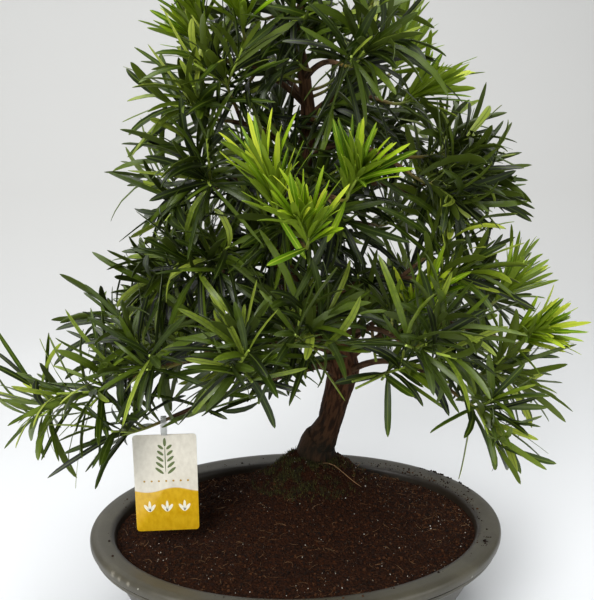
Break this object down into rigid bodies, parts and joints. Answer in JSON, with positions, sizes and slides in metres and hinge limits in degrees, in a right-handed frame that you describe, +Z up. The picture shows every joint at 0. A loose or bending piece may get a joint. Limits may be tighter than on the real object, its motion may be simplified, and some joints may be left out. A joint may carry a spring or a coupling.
{
  "type": "buddhist pine bonsai",
  "caption": "Buddhist pine bonsai: a curved trunk with tiers of strap-leaved twigs, planted in soil in a low oval stoneware pot, with a hanging care label.",
  "frame": {"origin": "middle of the base of the whole plant's bounding box, on the surface that the pot's feet stand on", "axes": "+Z up; +X to the right and +Y away from the viewer along the pot's short axis, seen from the front of the tree"},
  "size_m": [0.488, 0.393, 0.6669],
  "materials": {
    "stoneware": "satin",
    "soil": "matte",
    "bark": "matte",
    "old_leaf": "satin",
    "summer_leaf": "satin",
    "young_leaf": "satin",
    "plastic_mesh": "matte",
    "label_plastic": "satin"
  },
  "bodies": {
    "root": {"drain_mesh_left": "plastic_mesh", "drain_mesh_right": "plastic_mesh", "label": "label_plastic", "pot": "stoneware", "soil": "soil", "trunk": "bark", "twig_crown_1": "old_leaf", "twig_crown_left_1": "old_leaf", "twig_crown_right_1": "summer_leaf", "twig_far_left_1": "old_leaf", "twig_far_right_1": "old_leaf", "twig_front_left_1": "young_leaf", "twig_front_low_1": "young_leaf", "twig_front_right_1": "young_leaf", "twig_label_branch_1": "old_leaf", "twig_low_back_1": "old_leaf", "twig_low_back_left_1": "old_leaf", "twig_low_back_left_2": "old_leaf", "twig_low_back_right_1": "summer_leaf", "twig_low_back_right_2": "summer_leaf", "twig_low_front_1": "old_leaf", "twig_low_front_2": "old_leaf", "twig_low_front_left_1": "old_leaf", "twig_low_front_right_1": "old_leaf", "twig_low_left_1": "summer_leaf", "twig_low_left_2": "summer_leaf", "twig_low_left_3": "summer_leaf", "twig_low_right_1": "summer_leaf", "twig_low_right_2": "summer_leaf", "twig_low_right_3": "summer_leaf", "twig_mid_back_left_1": "old_leaf", "twig_mid_back_right_1": "summer_leaf", "twig_mid_left_1": "old_leaf", "twig_mid_left_2": "old_leaf", "twig_mid_right_1": "summer_leaf", "twig_mid_right_2": "summer_leaf", "twig_right_1": "young_leaf", "twig_right_2": "young_leaf", "twig_right_3": "young_leaf", "twig_top_back_1": "summer_leaf", "twig_top_front_1": "old_leaf", "twig_top_left_1": "young_leaf", "twig_top_left_2": "young_leaf", "twig_top_right_1": "young_leaf", "twig_top_right_2": "young_leaf", "twig_upper_back_1": "old_leaf", "twig_upper_back_right_1": "old_leaf", "twig_upper_left_1": "old_leaf", "twig_upper_left_2": "old_leaf", "twig_upper_left_front_1": "summer_leaf", "twig_upper_left_front_2": "summer_leaf", "twig_upper_right_1": "old_leaf", "twig_upper_right_2": "old_leaf", "twig_upper_right_front_1": "old_leaf", "twig_upper_right_front_2": "old_leaf"}
  },
  "joints": []
}
